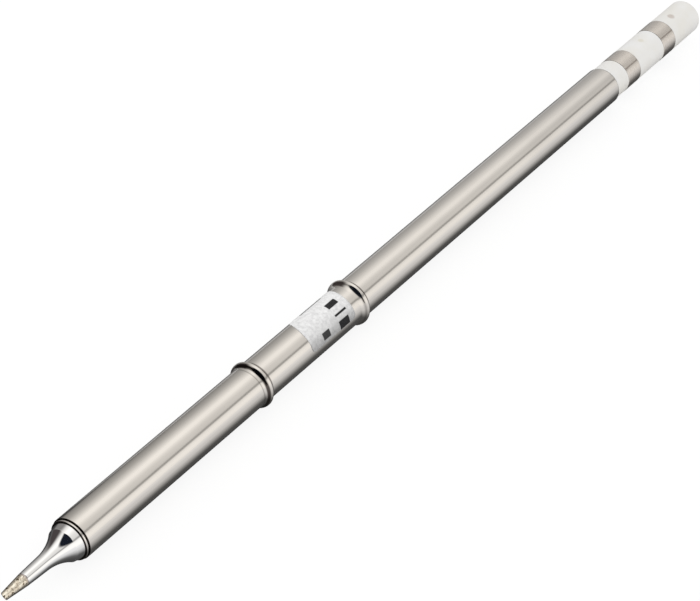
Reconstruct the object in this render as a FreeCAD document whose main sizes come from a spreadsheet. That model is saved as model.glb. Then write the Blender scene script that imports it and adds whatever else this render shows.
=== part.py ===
# Heated soldering cartridge with a bevelled bit.
# It lies along X: the bit points to -X and the rear end is at the origin.
import FreeCAD, Part
import math
import os
import Sketcher

V = FreeCAD.Vector
X_AXIS = V(1, 0, 0)
# How far a round's middle lies from its corner's two sides, as a share of its radius
CORNER_SHARE = 1 - math.sqrt(0.5)

# Driving sizes in millimetres and degrees. A station is a distance from the bit's end.
SIZES = {
    "overall_length": 155.0,
    # bit
    "bit_end_radius": 0.46,
    "tinned_length": 3.74,
    "tinned_radius": 0.826,
    "neck_length": 7.0,
    "neck_radius": 0.975,
    "flare_length": 10.6,
    "shoulder_radius": 2.19,
    "shoulder_recess": 0.4,
    "bevel_angle": 45.0,
    "bit_roll": 308.0,
    "sleeve_station": 11.58,
    "shank_length": 14.85,
    "shank_chamfer": 0.2,
    "heater_bore_radius": 1.62,
    "heater_bore_length": 14.8,
    "drill_point_length": 0.45,
    # tubes
    "tube_radius": 2.75,
    "tube_wall": 0.375,
    "spigot_wall": 0.3,
    "spigot_length": 4.0,
    "lip_length": 0.24,
    "lip_step": 0.2,
    "lip_round": 0.1,
    "lip_groove_width": 0.15,
    "lip_groove_depth": 0.26,
    "front_bead_station": 45.2,
    "front_bead_run": 0.9,
    "front_bead_wall": 0.4,
    "front_bead_hollow": 0.5,
    "rear_bead_station": 65.38,
    "rear_bead_run": 1.28,
    "rear_bead_wall": 0.44,
    "rear_bead_hollow": 0.7,
    "crest_width": 0.08,
    "rim_round": 0.2,
    "rim_clearance": 0.05,
    "rear_tube_end_station": 130.7,
    "rear_tube_round": 0.2,
    "fit_gap": 0.02,
    # label
    "label_station": 55.17,
    "label_length": 9.2,
    "label_thickness": 0.07,
    "label_angle": 130.0,
    "label_roll": 108.5,
    "label_corner": 0.6,
    # heater
    "bobbin_radius": 0.9,
    "bobbin_length": 13.9,
    "bobbin_hole_radius": 0.22,
    "collar_length": 1.5,
    "tail_hole_radius": 0.21,
    "ribbon_width": 0.6,
    "ribbon_thickness": 0.12,
    "tail_width": 0.3,
    "coil_radius": 1.11,
    "coil_pitch": 1.3,
    "coil_turns": 9.0,
    "coil_start": 0.75,
    "front_tail_reach": 0.32,
    "rear_tail_overhang": 0.8,
    "jacket_wall": 0.26,
    "jacket_length": 14.0,
    "sensor_bead_radius": 0.33,
    "sensor_wire_radius": 0.18,
    "sensor_wire_overhang": 0.5,
    # leads and their insulators
    "lead_radius": 0.26,
    "lead_pin_radius": 0.2,
    "lead_bore_radius": 0.32,
    "cross_over_length": 1.6,
    "cross_over_start": 0.4,
    "lead_insulator_clearance": 0.475,
    "front_lead_insulator_station": 31.0,
    "lead_insulator_joint_station": 78.0,
    # contact section
    "contact_core_station": 126.0,
    "contact_core_radius": 1.9,
    "contact_core_length": 26.0,
    "insulator_step": 0.18,
    "ring_step": 0.15,
    "front_insulator_length": 3.07,
    "contact_ring_length": 3.43,
    "middle_insulator_length": 6.9,
    "end_bore_clearance": 0.1,
    "end_round": 0.4,
    "ring_edge_chamfer": 0.06,
    "dimple_roll": 8.0,
    "dimple_radius": 0.26,
    "dimple_depth": 0.14,
    "middle_dimple_station": 141.05,
    "end_dimple_station": 149.75,
}


class Dim:
    """A size that knows both its value and the expression that works it out from the sheet."""

    def __init__(self, value, text):
        self.value = value
        self.text = text

    def __add__(self, other):
        other = as_dim(other)
        return Dim(self.value + other.value, f"({self.text} + {other.text})")

    def __sub__(self, other):
        other = as_dim(other)
        return Dim(self.value - other.value, f"({self.text} - {other.text})")

    def __mul__(self, other):
        other = as_dim(other)
        return Dim(self.value * other.value, f"({self.text} * {other.text})")

    def __truediv__(self, other):
        other = as_dim(other)
        return Dim(self.value / other.value, f"({self.text} / {other.text})")

    def __neg__(self):
        return Dim(-self.value, f"(-1 * {self.text})")


def as_dim(size):
    return size if isinstance(size, Dim) else Dim(float(size), repr(float(size)))


def root(size):
    return Dim(math.sqrt(size.value), f"sqrt({size.text})")


def size(name):
    return Dim(SIZES[name], "Sizes." + name)


doc = FreeCAD.newDocument("SolderingCartridge")
sheet = doc.addObject("Spreadsheet::Sheet", "Sizes")
for row, (name, number) in enumerate(SIZES.items(), start=1):
    sheet.set(f"A{row}", name)
    sheet.set(f"B{row}", str(number))
    sheet.setAlias(f"B{row}", name)
doc.recompute()


def place(thing, station, roll=None):
    """Put a sub-part's own origin at a station along the rod, turned about the rod's axis."""
    turn = FreeCAD.Rotation(X_AXIS, 0 if roll is None else roll.value)
    thing.Placement = FreeCAD.Placement(V(0, 0, 0), turn)
    thing.setExpression("Placement.Base.x", (as_dim(station) - size("overall_length")).text)
    if roll is not None:
        thing.setExpression("Placement.Rotation.Angle", roll.text)


def new_body(name, station, roll=None):
    body = doc.addObject("PartDesign::Body", name)
    body.Label = name
    place(body, station, roll)
    return body


def new_sketch(body, name, role):
    """A sketch on one of the body's own origin planes."""
    sketch = body.newObject("Sketcher::SketchObject", name)
    plane = next(feature for feature in body.Origin.OriginFeatures if feature.Role == role)
    sketch.AttachmentSupport = [(plane, "")]
    sketch.MapMode = "FlatFace"
    return sketch


def tie(sketch, kind, index, point, target):
    """Hold one coordinate of a sketch point at a size from the sheet."""
    if isinstance(target, Dim):
        row = sketch.addConstraint(Sketcher.Constraint(kind, -1, 1, index, point, target.value))
        sketch.setExpression(f"Constraints[{row}]", target.text)
    else:
        axis = -2 if kind == "DistanceX" else -1
        sketch.addConstraint(Sketcher.Constraint("PointOnObject", index, point, axis))


def arc_between(start, end, radius, left):
    """The shorter arc from start to end, bulging to the left or the right of the way along it."""
    chord = end - start
    rise = math.sqrt(max(radius ** 2 - (chord.Length / 2) ** 2, 0))
    normal = V(-chord.y, chord.x, 0).normalize() * (1 if left else -1)
    centre = (start + end) / 2 - normal * rise
    middle = centre + normal * radius
    return Part.Arc(start, middle, end)


def draw_outline(sketch, points, arcs=None, closed=True):
    """Join points by lines. arcs maps a point's number to (radius, left) for the stretch that follows it."""
    arcs = arcs or {}
    flat = [V(as_dim(x).value, as_dim(y).value, 0) for x, y in points]
    count = len(points) if closed else len(points) - 1
    ends = []
    for number in range(count):
        start = flat[number]
        end = flat[(number + 1) % len(flat)]
        if number not in arcs:
            index = sketch.addGeometry(Part.LineSegment(start, end), False)
            ends.append((index, 1, 2))
            continue
        radius, left = arcs[number]
        curve = arc_between(start, end, radius.value, left)
        index = sketch.addGeometry(curve, False)
        first = sketch.getPoint(index, 1)
        forward = first.distanceToPoint(start) < first.distanceToPoint(end)
        ends.append((index, 1, 2) if forward else (index, 2, 1))
        row = sketch.addConstraint(Sketcher.Constraint("Radius", index, radius.value))
        sketch.setExpression(f"Constraints[{row}]", radius.text)
    for number in range(count):
        index, start_point, end_point = ends[number]
        if closed or number + 1 < count:
            following, next_start, _ = ends[(number + 1) % count]
            sketch.addConstraint(Sketcher.Constraint("Coincident", index, end_point, following, next_start))
        x, y = points[number]
        tie(sketch, "DistanceX", index, start_point, x)
        tie(sketch, "DistanceY", index, start_point, y)
    if not closed:
        index, _, end_point = ends[-1]
        x, y = points[-1]
        tie(sketch, "DistanceX", index, end_point, x)
        tie(sketch, "DistanceY", index, end_point, y)
    return sketch


def draw_circle(sketch, x, y, radius):
    centre = V(as_dim(x).value, as_dim(y).value, 0)
    index = sketch.addGeometry(Part.Circle(centre, V(0, 0, 1), radius.value), False)
    row = sketch.addConstraint(Sketcher.Constraint("Radius", index, radius.value))
    sketch.setExpression(f"Constraints[{row}]", radius.text)
    tie(sketch, "DistanceX", index, 3, x)
    tie(sketch, "DistanceY", index, 3, y)


def revolve(body, points, arcs=None, name="Turned"):
    """Turn an outline, drawn in the body's XY plane, about the rod's axis."""
    sketch = draw_outline(new_sketch(body, name + "Outline", "XY_Plane"), points, arcs)
    turned = body.newObject("PartDesign::Revolution", name)
    turned.Profile = sketch
    turned.ReferenceAxis = (sketch, ["H_Axis"])
    turned.Angle = 360
    doc.recompute()
    return turned


def pad_across(body, length, circles, name="Rod"):
    """A straight rod along X whose section is drawn in the YZ plane."""
    sketch = new_sketch(body, name + "Section", "YZ_Plane")
    for x, y, radius in circles:
        draw_circle(sketch, x, y, radius)
    pad = body.newObject("PartDesign::Pad", name)
    pad.Profile = sketch
    pad.setExpression("Length", length.text)
    doc.recompute()
    return pad


def pocket(body, sketch, name, length=None, reversed_way=False, both_ways=False):
    """Cut a sketch out of the body, and make sure that it did cut."""
    before = body.Shape.Volume
    cut = body.newObject("PartDesign::Pocket", name)
    cut.Profile = sketch
    cut.Reversed = reversed_way
    if length is None:
        cut.Type = "ThroughAll"
        cut.SideType = "Symmetric" if both_ways else "One side"
    else:
        cut.Type = "Length"
        cut.setExpression("Length", length.text)
    doc.recompute()
    if body.Shape.Volume >= before - 1e-6:
        raise RuntimeError(f"{name} cuts nothing from {body.Label}")
    return cut


def s_curve_radius(run, rise):
    """Radius of the two equal arcs of an S-curve that is level at both ends."""
    return (run * run + rise * rise) / (rise * 4)


def eased(x, y, run, rise, hollow):
    """Points along an S-curve that is level at both ends, for a surface turned as a row of cones.

    The first of its two arcs is hollow and takes the given share of the run and of the rise. Both arcs turn
    by the same angle, so the sum of their radii follows from the run and the rise alone.
    """
    arcs = s_curve_radius(run, rise) * 2
    lift = arcs - root(arcs * arcs - run * run / 4)
    crown = as_dim(1) - hollow
    return [
        (x, y),
        (x + run * hollow / 2, y + lift * hollow),
        (x + run * hollow, y + rise * hollow),
        (x + run - run * crown / 2, y + rise - lift * crown),
        (x + run, y + rise),
    ]


def rounded_corner(x, y, back, down):
    """Points that round a corner in two flats: from back along X before it to down along Y below it."""
    x = as_dim(x)
    return [
        (x - back, y),
        (x - back * CORNER_SHARE, y - down * CORNER_SHARE),
        (x, y - down),
    ]


# Sizes that several pieces share
fit_gap = size("fit_gap")
tube_radius = size("tube_radius")
tube_bore = tube_radius - size("tube_wall")
shank_radius = tube_bore - fit_gap
bell_bore = tube_radius + fit_gap
spigot_bore = shank_radius - size("spigot_wall")
sleeve_station = size("sleeve_station")
shank_end = sleeve_station + size("shank_length")
bore_station = shank_end - size("heater_bore_length")
bobbin_station = shank_end - size("bobbin_length")
collar_end = shank_end + size("collar_length")
lead_offset = size("coil_radius")
tail_end = collar_end + size("rear_tail_overhang")
sensor_wire_end = collar_end + size("sensor_wire_overhang")
bead_station = bobbin_station - size("front_tail_reach")
core_bore = size("contact_core_radius") + fit_gap
pin_reach = root(core_bore * core_bore - size("lead_pin_radius") * size("lead_pin_radius"))
insulator_radius = tube_radius - size("insulator_step")
ring_radius = tube_radius - size("ring_step")
ring_one_station = size("rear_tube_end_station") + size("front_insulator_length")
middle_station = ring_one_station + size("contact_ring_length")
ring_two_station = middle_station + size("middle_insulator_length")
end_station = ring_two_station + size("contact_ring_length")
ring_one_middle = ring_one_station + size("contact_ring_length") / 2
ring_two_middle = ring_two_station + size("contact_ring_length") / 2


def bell_length(bead):
    """Length of a bell from the foot of its flare to the end of its rounded rim. The bead is named."""
    return size(bead + "_run") + size("crest_width") + size("rim_round")


def bell_outline(start, bead):
    """Outline of a belled tube end: the flare, the crest, the rounded rim and back to the tube's bore."""
    crest = bell_bore + size(bead + "_wall")
    run = size(bead + "_run")
    top = start + run
    rim_round = size("rim_round")
    end = start + bell_length(bead)
    flare = eased(start, tube_radius, run, crest - tube_radius, size(bead + "_hollow"))
    rim = rounded_corner(end, crest, rim_round, rim_round)
    return flare + rim + [(end, bell_bore), (top, bell_bore), (start, tube_bore)]


def spigot_outline(bead):
    """Outline of a tube's front end, necked down to go into the bell of the tube before it.

    The neck starts where that bell's flare does, and reaches full size just behind the bell's rim.
    """
    neck_start = size("spigot_length")
    neck_end = neck_start + bell_length(bead) + size("rim_clearance")
    return [
        (neck_end, tube_bore),
        (neck_start, spigot_bore),
        (0, spigot_bore),
        (0, shank_radius),
        (neck_start, shank_radius),
        (neck_end, tube_radius),
    ]


def make_bit():
    """Turned bit: tinned cone, slender neck, flared shoulder, hollow shank, and a bevel across the end."""
    body = new_body("soldering_bit", 0, size("bit_roll"))
    flare_run = size("flare_length") - size("neck_length")
    flare_rise = size("shoulder_radius") - size("neck_radius")
    slope = (size("neck_radius") - size("tinned_radius")) / (size("neck_length") - size("tinned_length"))
    # A circle that leaves the neck's line at a tangent and ends at the shoulder's edge
    square = flare_run * flare_run + flare_rise * flare_rise
    flare_radius = square * root(slope * slope + 1) / ((flare_rise - slope * flare_run) * 2)
    bore_radius = size("heater_bore_radius")
    recess_end = sleeve_station + size("shoulder_recess")
    points = [
        (0, 0),
        (0, size("bit_end_radius")),
        (size("tinned_length"), size("tinned_radius")),
        (size("neck_length"), size("neck_radius")),
        (size("flare_length"), size("shoulder_radius")),
        (recess_end, size("shoulder_radius")),
        (recess_end, shank_radius),
        (shank_end - size("shank_chamfer"), shank_radius),
        (shank_end, shank_radius - size("shank_chamfer")),
        (shank_end, bore_radius),
        (bore_station, bore_radius),
        (bore_station - size("drill_point_length"), 0),
    ]
    revolve(body, points, {3: (flare_radius, False)})
    bevel = new_sketch(body, "BevelOutline", "XY_Plane")
    lead_in = size("bit_end_radius")
    slant = Dim(1 / math.tan(math.radians(SIZES["bevel_angle"])), "(1 / tan(Sizes.bevel_angle * 1 deg))")
    reach = (size("bit_end_radius") + size("tinned_radius")) * slant
    draw_outline(bevel, [
        (-(lead_in * slant), -(size("bit_end_radius") + lead_in)),
        (reach, size("tinned_radius")),
        (-(lead_in * slant), size("tinned_radius")),
    ])
    pocket(body, bevel, "Bevel", both_ways=True)


def make_front_sleeve():
    """Tube that holds the bit's shank: a lip and a groove in front, and a bell over the next tube behind."""
    body = new_body("front_sleeve", sleeve_station)
    lip_round = size("lip_round")
    lip_radius = tube_radius - size("lip_step")
    lip_length = size("lip_length")
    groove_radius = tube_radius - size("lip_groove_depth")
    groove_end = lip_length + size("lip_groove_width")
    lip = [(0, tube_bore)] + rounded_corner(0, lip_radius, -lip_round, lip_round)[::-1]
    groove = [
        (lip_length, lip_radius),
        (lip_length, groove_radius),
        (groove_end, groove_radius),
        (groove_end, tube_radius),
    ]
    bell_start = size("front_bead_station") - sleeve_station
    bell = bell_outline(bell_start, "front_bead")
    revolve(body, lip + groove + bell)


def make_middle_tube():
    """Short tube between the beads: a spigot in front, a bell behind."""
    start = size("front_bead_station") - size("spigot_length")
    body = new_body("middle_tube", start)
    spigot = spigot_outline("front_bead")
    bell_start = size("rear_bead_station") - start
    bell = bell_outline(bell_start, "rear_bead")
    revolve(body, spigot + bell)


def make_rear_tube():
    """Long tube that plugs into the handle, its rear end turned in a little."""
    start = size("rear_bead_station") - size("spigot_length")
    body = new_body("rear_tube", start)
    spigot = spigot_outline("rear_bead")
    end = size("rear_tube_end_station") - start
    curl = size("rear_tube_round")
    revolve(body, spigot + rounded_corner(end, tube_radius, curl, curl) + [(end, tube_bore)])


def make_label():
    """Thin foil label with rounded corners, stuck part of the way round the middle tube."""
    body = new_body("label", size("label_station"), size("label_roll"))
    inside = tube_radius + fit_gap / 2
    outside = inside + size("label_thickness")
    length = size("label_length")
    sketch = draw_outline(new_sketch(body, "FoilOutline", "XY_Plane"),
                          [(0, inside), (0, outside), (length, outside), (length, inside)])
    foil = body.newObject("PartDesign::Revolution", "Foil")
    foil.Profile = sketch
    foil.ReferenceAxis = (sketch, ["H_Axis"])
    foil.setExpression("Angle", size("label_angle").text)
    foil.Midplane = True
    doc.recompute()
    names = []
    for number, edge in enumerate(foil.Shape.Edges, start=1):
        if abs(edge.Length - SIZES["label_thickness"]) < 1e-4:
            names.append(f"Edge{number}")
    corners = body.newObject("PartDesign::Fillet", "Corners")
    corners.Base = (foil, names)
    corners.setExpression("Radius", size("label_corner").text)
    doc.recompute()


def make_heater_core():
    """Ceramic bobbin with a collar that sits behind the shank. The wires run through its holes."""
    body = new_body("heater_core", bobbin_station)
    hole = size("bobbin_hole_radius")
    length = size("bobbin_length")
    end = length + size("collar_length")
    revolve(body, [
        (0, hole),
        (0, size("bobbin_radius")),
        (length, size("bobbin_radius")),
        (length, shank_radius),
        (end, shank_radius),
        (end, hole),
    ])
    sketch = new_sketch(body, "TailHoleOutline", "YZ_Plane")
    draw_circle(sketch, lead_offset, 0, size("tail_hole_radius"))
    pocket(body, sketch, "TailHole", both_ways=True)


def make_heater_jacket():
    """Ceramic tube between the winding and the bit."""
    body = new_body("heater_jacket", shank_end - size("jacket_length"))
    outer = size("heater_bore_radius") - fit_gap
    inner = outer - size("jacket_wall")
    length = size("jacket_length")
    revolve(body, [(0, inner), (0, outer), (length, outer), (length, inner)])


def make_heater_coil():
    """Flat resistance ribbon wound on the bobbin, with a strip at each end.

    The front strip reaches past the bobbin and turns inward to the sensor bead.
    The rear strip runs straight back through the hole in the collar to the plus lead.
    """
    winding_station = bobbin_station + size("coil_start")
    body = new_body("heater_coil", winding_station)
    half_thickness = size("ribbon_thickness") / 2
    inner = size("coil_radius") - half_thickness
    outer = size("coil_radius") + half_thickness
    width = size("ribbon_width")
    ribbon = draw_outline(new_sketch(body, "RibbonSection", "XY_Plane"), [
        (0, inner),
        (0, outer),
        (width, outer),
        (width, inner),
    ])
    winding = body.newObject("PartDesign::AdditiveHelix", "Winding")
    winding.Profile = ribbon
    winding.ReferenceAxis = (ribbon, ["H_Axis"])
    winding.Mode = "pitch-turns-angle"
    winding.setExpression("Pitch", size("coil_pitch").text)
    winding.setExpression("Turns", size("coil_turns").text)
    doc.recompute()
    spoke = bead_station - winding_station
    front_strip = draw_outline(new_sketch(body, "FrontStripOutline", "XY_Plane"), [
        (width / 2, inner),
        (width / 2, outer),
        (spoke - half_thickness, outer),
        (spoke - half_thickness, size("sensor_bead_radius")),
        (spoke + half_thickness, size("sensor_bead_radius")),
        (spoke + half_thickness, inner),
    ])
    rear_start = size("coil_pitch") * size("coil_turns") + width / 2
    rear_strip = draw_outline(new_sketch(body, "RearStripOutline", "XY_Plane"), [
        (rear_start, inner),
        (rear_start, outer),
        (tail_end - winding_station, outer),
        (tail_end - winding_station, inner),
    ])
    for name, outline in (("FrontStrip", front_strip), ("RearStrip", rear_strip)):
        strip = body.newObject("PartDesign::Pad", name)
        strip.Profile = outline
        strip.SideType = "Symmetric"
        strip.setExpression("Length", size("tail_width").text)
        doc.recompute()


def make_sensor_bead():
    """Thermocouple junction: a bead with a flat seat where the sensor wire joins it."""
    bead = size("sensor_bead_radius")
    wire = size("sensor_wire_radius")
    seat = bead + root(bead * bead - wire * wire)
    body = new_body("sensor_bead", bead_station - bead)
    revolve(body, [(0, 0), (bead, bead), (seat, wire), (seat, 0)], {0: (bead, True), 1: (bead, True)})


def make_sensor_wire():
    """Straight wire of the second alloy, from the bead through the bobbin's centre."""
    bead = size("sensor_bead_radius")
    wire = size("sensor_wire_radius")
    start = bead_station + root(bead * bead - wire * wire)
    body = new_body("sensor_wire", start)
    pad_across(body, sensor_wire_end - start, [(0, 0, wire)])


def lead_pin(body, station):
    """A short pin that stands out from a lead's end, through the core, to the bore of its contact ring."""
    sketch = new_sketch(body, "PinSection", "XZ_Plane")
    sketch.setExpression("AttachmentOffset.Base.z", (-lead_offset).text)
    draw_circle(sketch, station, 0, size("lead_pin_radius"))
    doc.recompute()
    pin = body.newObject("PartDesign::Pad", "Pin")
    pin.Profile = sketch
    pin.Reversed = True
    pin.setExpression("Length", (pin_reach - lead_offset).text)
    doc.recompute()


def make_plus_lead():
    """Wire from the heater's rear strip straight back, with a pin out to the rear contact ring."""
    body = new_body("plus_lead", tail_end)
    station = ring_two_middle - tail_end
    pad_across(body, station + size("lead_radius"), [(lead_offset, 0, size("lead_radius"))])
    lead_pin(body, station)


def make_minus_lead():
    """Wire from the sensor wire's end, across to the other side and back, with a pin to the front ring."""
    body = new_body("minus_lead", sensor_wire_end, as_dim(180.0))
    start = size("cross_over_start")
    run = size("cross_over_length")
    station = ring_one_middle - sensor_wire_end
    cross = s_curve_radius(run, lead_offset)
    route = [
        (0, 0),
        (start, 0),
        (start + run / 2, lead_offset / 2),
        (start + run, lead_offset),
        (station + size("lead_radius"), lead_offset),
    ]
    section = new_sketch(body, "WireSection", "YZ_Plane")
    draw_circle(section, 0, 0, size("lead_radius"))
    arcs = {1: (cross, False), 2: (cross, True)}
    path = draw_outline(new_sketch(body, "WireRoute", "XY_Plane"), route, arcs, closed=False)
    wire = body.newObject("PartDesign::AdditivePipe", "Wire")
    wire.Profile = section
    wire.Spine = (path, [f"Edge{number + 1}" for number in range(len(route) - 1)])
    doc.recompute()
    lead_pin(body, station)


def make_lead_insulators():
    """Two ceramic rods end to end, each with two bores for the leads."""
    joint = size("lead_insulator_joint_station")
    front = size("front_lead_insulator_station")
    core = size("contact_core_station")
    for name, start, end in (("front_lead_insulator", front, joint), ("rear_lead_insulator", joint, core)):
        body = new_body(name, start)
        pad_across(body, end - start, [
            (0, 0, tube_bore - size("lead_insulator_clearance")),
            (lead_offset, 0, size("lead_bore_radius")),
            (-lead_offset, 0, size("lead_bore_radius")),
        ])


def make_contact_core():
    """Ceramic rod that carries the contact rings. Each lead has a bore that turns out to its ring."""
    start = size("contact_core_station")
    body = new_body("contact_core", start)
    bore = size("lead_bore_radius")
    pad_across(body, size("contact_core_length"), [(0, 0, size("contact_core_radius"))])
    for name, side, station in (("Plus", 1, ring_two_middle), ("Minus", -1, ring_one_middle)):
        offset = lead_offset if side > 0 else -lead_offset
        along = new_sketch(body, name + "BoreOutline", "YZ_Plane")
        draw_circle(along, offset, 0, bore)
        pocket(body, along, name + "Bore", length=station - start + bore, reversed_way=True)
        outward = new_sketch(body, name + "OutletOutline", "XZ_Plane")
        draw_circle(outward, station - start, 0, bore)
        pocket(body, outward, name + "Outlet", length=size("contact_core_radius"), reversed_way=side < 0)


def make_front_insulator():
    """White bush: a spigot inside the rear tube and a collar behind it."""
    spigot_start = size("contact_core_station")
    body = new_body("front_insulator", spigot_start)
    step = size("rear_tube_end_station") - spigot_start
    end = ring_one_station - spigot_start
    revolve(body, [
        (0, core_bore),
        (0, shank_radius),
        (step, shank_radius),
        (step, insulator_radius),
        (end, insulator_radius),
        (end, core_bore),
    ])


def make_contact_rings():
    """Two alike turned rings with softened edges."""
    length = size("contact_ring_length")
    edge = size("ring_edge_chamfer")
    outer = ring_radius
    for name, station in (("front_contact_ring", ring_one_station), ("rear_contact_ring", ring_two_station)):
        revolve(new_body(name, station), [
            (0, core_bore),
            (0, outer - edge),
            (edge, outer),
            (length - edge, outer),
            (length, outer - edge),
            (length, core_bore),
        ])


def add_dimple(body, station):
    """Shallow round mould mark in the top of an insulator."""
    sketch = new_sketch(body, "DimpleOutline", "XY_Plane")
    floor = insulator_radius - size("dimple_depth")
    sketch.setExpression("AttachmentOffset.Base.z", floor.text)
    draw_circle(sketch, station, 0, size("dimple_radius"))
    doc.recompute()
    pocket(body, sketch, "Dimple", length=size("dimple_depth") * 2, reversed_way=True)


def make_middle_insulator():
    """White sleeve between the contact rings."""
    body = new_body("middle_insulator", middle_station, size("dimple_roll"))
    length = size("middle_insulator_length")
    outer = insulator_radius
    revolve(body, [(0, core_bore), (0, outer), (length, outer), (length, core_bore)])
    add_dimple(body, size("middle_dimple_station") - middle_station)


def make_end_insulator():
    """White cap that closes the rear end, with a blind bore on the core and a rounded end."""
    body = new_body("end_insulator", end_station, size("dimple_roll"))
    outer = insulator_radius
    length = size("overall_length") - end_station
    core_end = size("contact_core_station") + size("contact_core_length") - end_station
    bore_end = core_end + size("end_bore_clearance")
    curl = size("end_round")
    corner = rounded_corner(length, outer, curl, curl)
    axis = [(length, 0), (bore_end, 0), (bore_end, core_bore)]
    revolve(body, [(0, core_bore), (0, outer)] + corner + axis)
    add_dimple(body, size("end_dimple_station") - end_station)


make_bit()
make_front_sleeve()
make_middle_tube()
make_rear_tube()
make_label()
make_heater_core()
make_heater_coil()
make_heater_jacket()
make_sensor_bead()
make_sensor_wire()
make_plus_lead()
make_minus_lead()
make_lead_insulators()
make_contact_core()
make_front_insulator()
make_contact_rings()
make_middle_insulator()
make_end_insulator()
doc.recompute()

faults = [thing.Name for thing in doc.Objects if "Invalid" in thing.State or "Error" in thing.State]
if faults:
    raise RuntimeError(f"not rebuilt: {faults}")
bodies = [thing for thing in doc.Objects if thing.TypeId == "PartDesign::Body"]
for body in bodies:
    if body.Shape.isNull() or not body.Shape.isValid() or len(body.Shape.Solids) != 1:
        raise RuntimeError(f"{body.Label} is not one sound solid")
os.makedirs("parts", exist_ok=True)
for body in bodies:
    body.Shape.exportStep(f"parts/{body.Label}.step")
    box = body.Shape.BoundBox
    print(f"{body.Label}: {body.Shape.Volume:.2f} mm3, x {box.XMin:.2f} to {box.XMax:.2f}")
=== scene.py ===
# %% [markdown]
# # A heated soldering cartridge
# The object is a slim rod: a plated copper bit, three stainless tubes joined by rolled beads, a silvery
# label, and a white contact section with two metal rings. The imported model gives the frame: the rod lies
# along X with its bit towards -X, and the centre of its flat rear end is the origin. Everything below is
# in that frame. Places along the rod are stations, in millimetres from the bit's end, as a maker would
# measure them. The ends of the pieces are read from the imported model, and smaller features have named
# stations.

# %% Frame
import math
import bmesh
import bpy
import numpy as np
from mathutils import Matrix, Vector


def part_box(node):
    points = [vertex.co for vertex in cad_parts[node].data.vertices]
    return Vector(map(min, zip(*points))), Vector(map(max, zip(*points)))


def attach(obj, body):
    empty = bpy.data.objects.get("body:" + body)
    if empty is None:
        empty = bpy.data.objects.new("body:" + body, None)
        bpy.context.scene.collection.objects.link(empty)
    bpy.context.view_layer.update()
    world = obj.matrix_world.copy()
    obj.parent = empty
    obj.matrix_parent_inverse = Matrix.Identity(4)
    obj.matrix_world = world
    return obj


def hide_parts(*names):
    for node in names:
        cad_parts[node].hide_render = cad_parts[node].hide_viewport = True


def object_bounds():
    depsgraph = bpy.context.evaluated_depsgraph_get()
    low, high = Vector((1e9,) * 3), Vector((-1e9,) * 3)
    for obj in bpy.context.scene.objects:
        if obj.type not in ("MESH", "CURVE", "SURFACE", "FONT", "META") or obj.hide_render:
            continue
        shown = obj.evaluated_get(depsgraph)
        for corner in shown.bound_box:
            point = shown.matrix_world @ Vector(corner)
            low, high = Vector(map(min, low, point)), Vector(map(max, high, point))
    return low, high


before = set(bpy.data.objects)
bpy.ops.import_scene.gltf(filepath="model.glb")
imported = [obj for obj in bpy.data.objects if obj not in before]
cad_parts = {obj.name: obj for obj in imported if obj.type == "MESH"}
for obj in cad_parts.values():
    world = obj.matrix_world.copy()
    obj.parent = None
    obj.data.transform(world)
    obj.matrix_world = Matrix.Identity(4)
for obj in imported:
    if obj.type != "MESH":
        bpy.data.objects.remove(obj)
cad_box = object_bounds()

MM = 0.001
LENGTH = round(-cad_box[0][0] / MM, 2)


def stations(node):
    """Where a piece starts and ends along the rod."""
    low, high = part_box(node)
    return round(low.x / MM + LENGTH, 3), round(high.x / MM + LENGTH, 3)


def radius_of(node):
    """A turned piece's largest radius, which is the height of its box above the axis."""
    return round(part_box(node)[1].z / MM, 3)


SLEEVE_START, SLEEVE_END = stations("front_sleeve")
MIDDLE_END = stations("middle_tube")[1]
REAR_END = stations("rear_tube")[1]
SHANK_END = stations("soldering_bit")[1]
TUBE = radius_of("rear_tube")
print("length", LENGTH, "tube radius", TUBE)
print("front sleeve", SLEEVE_START, "to", SLEEVE_END, "middle tube to", MIDDLE_END, "rear tube to", REAR_END)

# %% [markdown]
# ## Camera
# The rod was photographed from beyond its bit, from the -Y side and above, with a long lens. The edges of
# the tubes and the two ends of the rod fix the camera's place and direction. The lens follows from how
# much the rod narrows towards its far end.

# %% Camera
CAMERA_PLACE = Vector((-0.30580, -0.14992, 0.19171))
CAMERA_AIM = Vector((0.66718, 0.45908, -0.58663))
FOCAL_PIXELS = 2586.5
FRAME_WIDTH = 700.0

camera_data = bpy.data.cameras.new("camera")
camera_data.sensor_fit = "HORIZONTAL"
camera_data.sensor_width = 36.0
camera_data.lens = FOCAL_PIXELS / FRAME_WIDTH * camera_data.sensor_width
camera_data.clip_start = 0.01
camera = bpy.data.objects.new("camera", camera_data)
camera.location = CAMERA_PLACE
camera.rotation_euler = CAMERA_AIM.to_track_quat("-Z", "Y").to_euler()
bpy.context.scene.collection.objects.link(camera)
bpy.context.scene.camera = camera
bpy.context.scene.view_settings.view_transform = "Standard"
print("lens", round(camera_data.lens, 1), "mm")

# %% [markdown]
# ## Small helpers for nodes
# A procedural material is a handful of nodes that are joined up. These helpers keep each material short:
# one makes a node and sets its sockets, one joins two sockets, and one feeds a socket with a number, a
# colour or another node's output.

# %% Node helpers
def add_node(tree, kind, sockets=None, **settings):
    node = tree.nodes.new(kind)
    for name, value in settings.items():
        setattr(node, name, value)
    for name, value in (sockets or {}).items():
        node.inputs[name].default_value = value
    return node


def join(tree, output, socket):
    tree.links.new(output, socket)


def feed(tree, socket, value):
    """Give a socket a number, a colour of three levels, or another node's output."""
    if isinstance(value, (int, float)):
        socket.default_value = value
    elif isinstance(value, tuple):
        socket.default_value = (*value, 1.0)
    else:
        join(tree, value, socket)


print("node helpers ready")

# %% [markdown]
# Most of a material is arithmetic on single numbers: a pattern's value is stretched onto the range that a
# colour or a roughness needs, or a band is cut out of it.

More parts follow.
